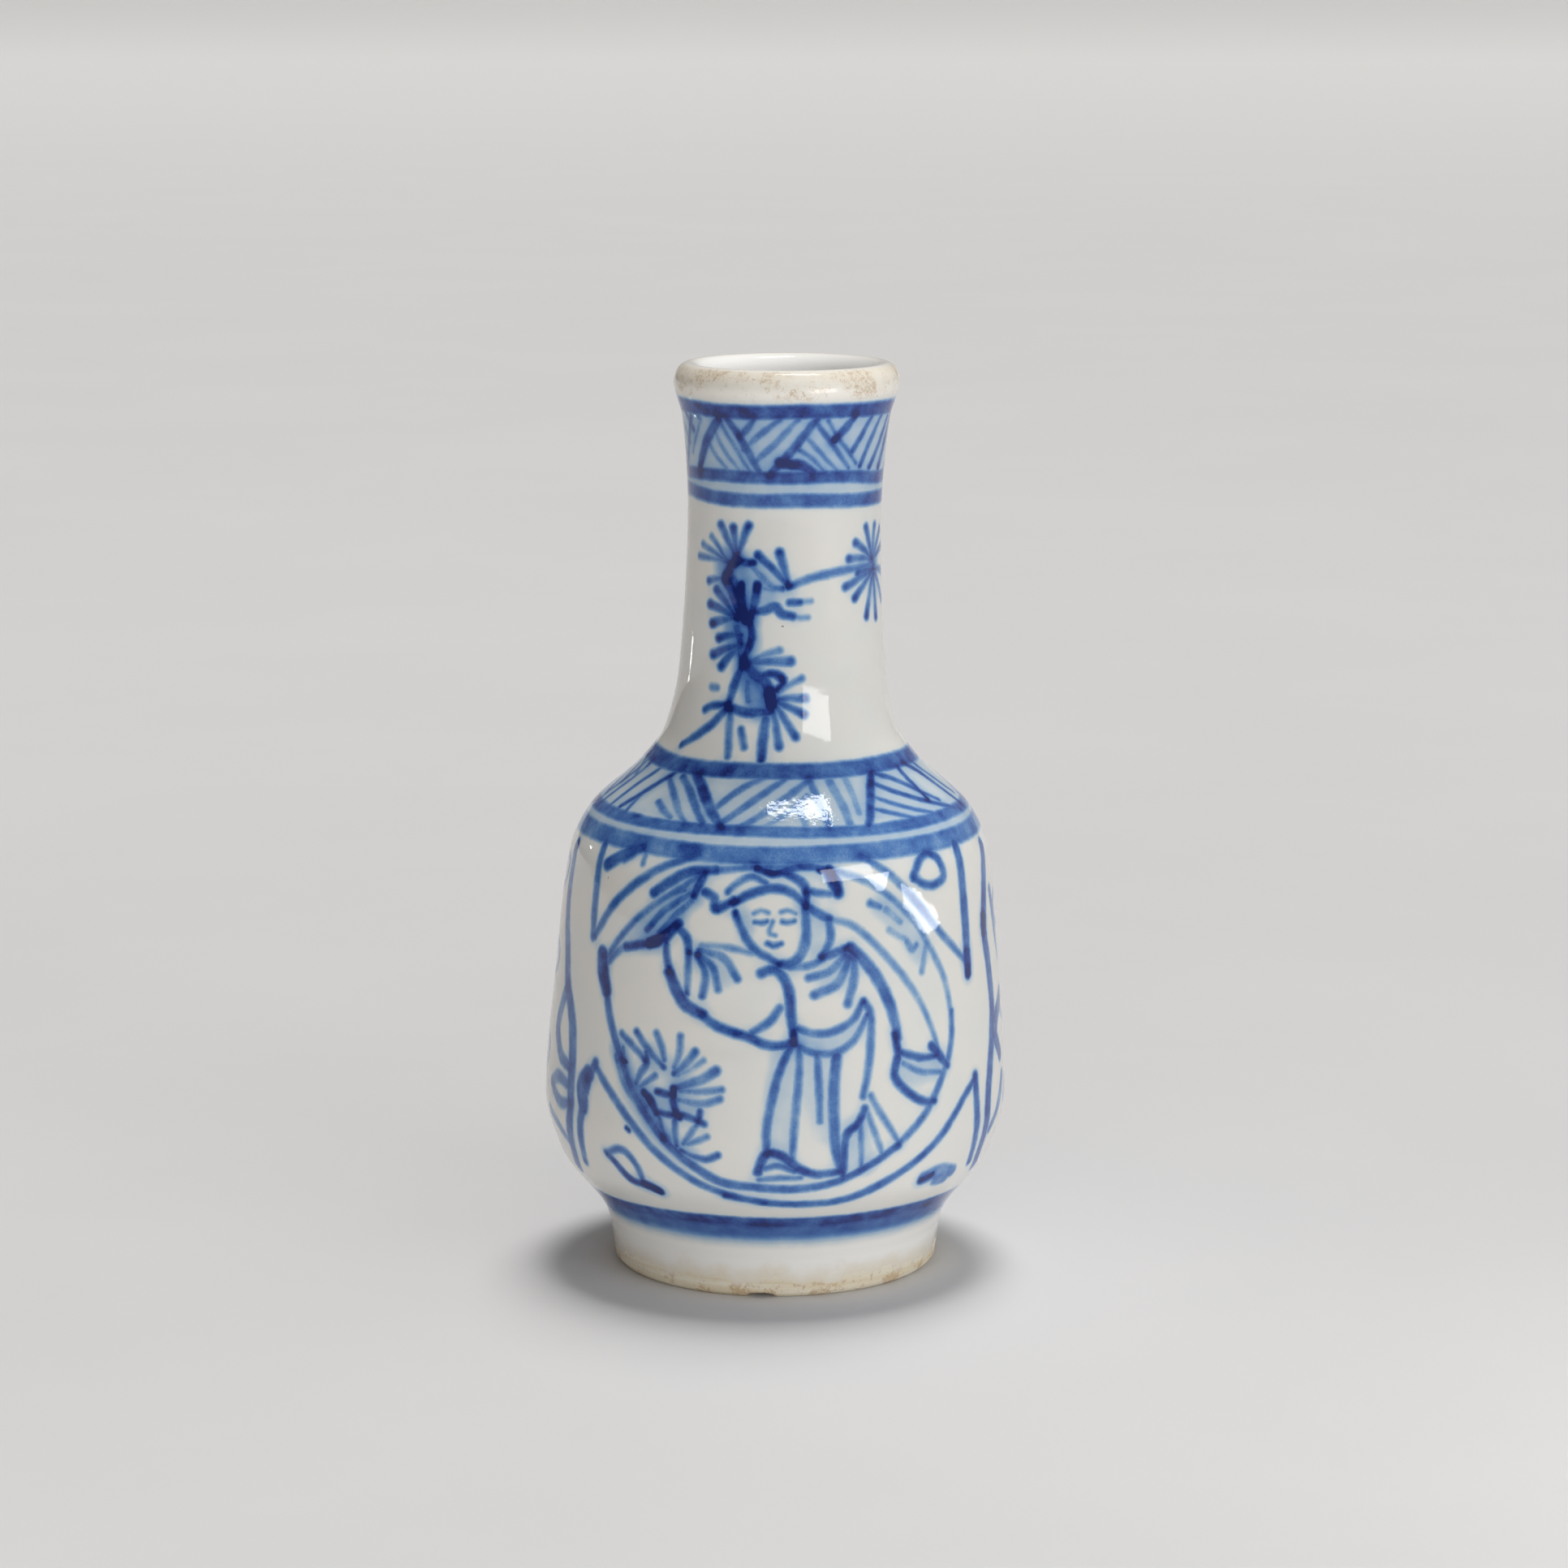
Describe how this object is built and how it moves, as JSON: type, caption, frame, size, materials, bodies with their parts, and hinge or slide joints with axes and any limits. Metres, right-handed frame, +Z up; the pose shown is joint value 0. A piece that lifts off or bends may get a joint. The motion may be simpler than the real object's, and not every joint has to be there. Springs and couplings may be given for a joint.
{
  "type": "miniature bottle vase",
  "caption": "Small hollow porcelain bottle vase: long flared neck, steep shoulder, full belly and a turned foot ring.",
  "frame": {"origin": "centre of the circle that the foot ring stands on", "axes": "+Z up through the mouth, -Y towards the side with the main painted panel"},
  "size_m": [0.0307, 0.0306, 0.06],
  "materials": {
    "porcelain": "clear glaze over white porcelain painted in cobalt blue"
  },
  "bodies": {
    "root": {"bottle_vase": "porcelain"}
  },
  "joints": []
}
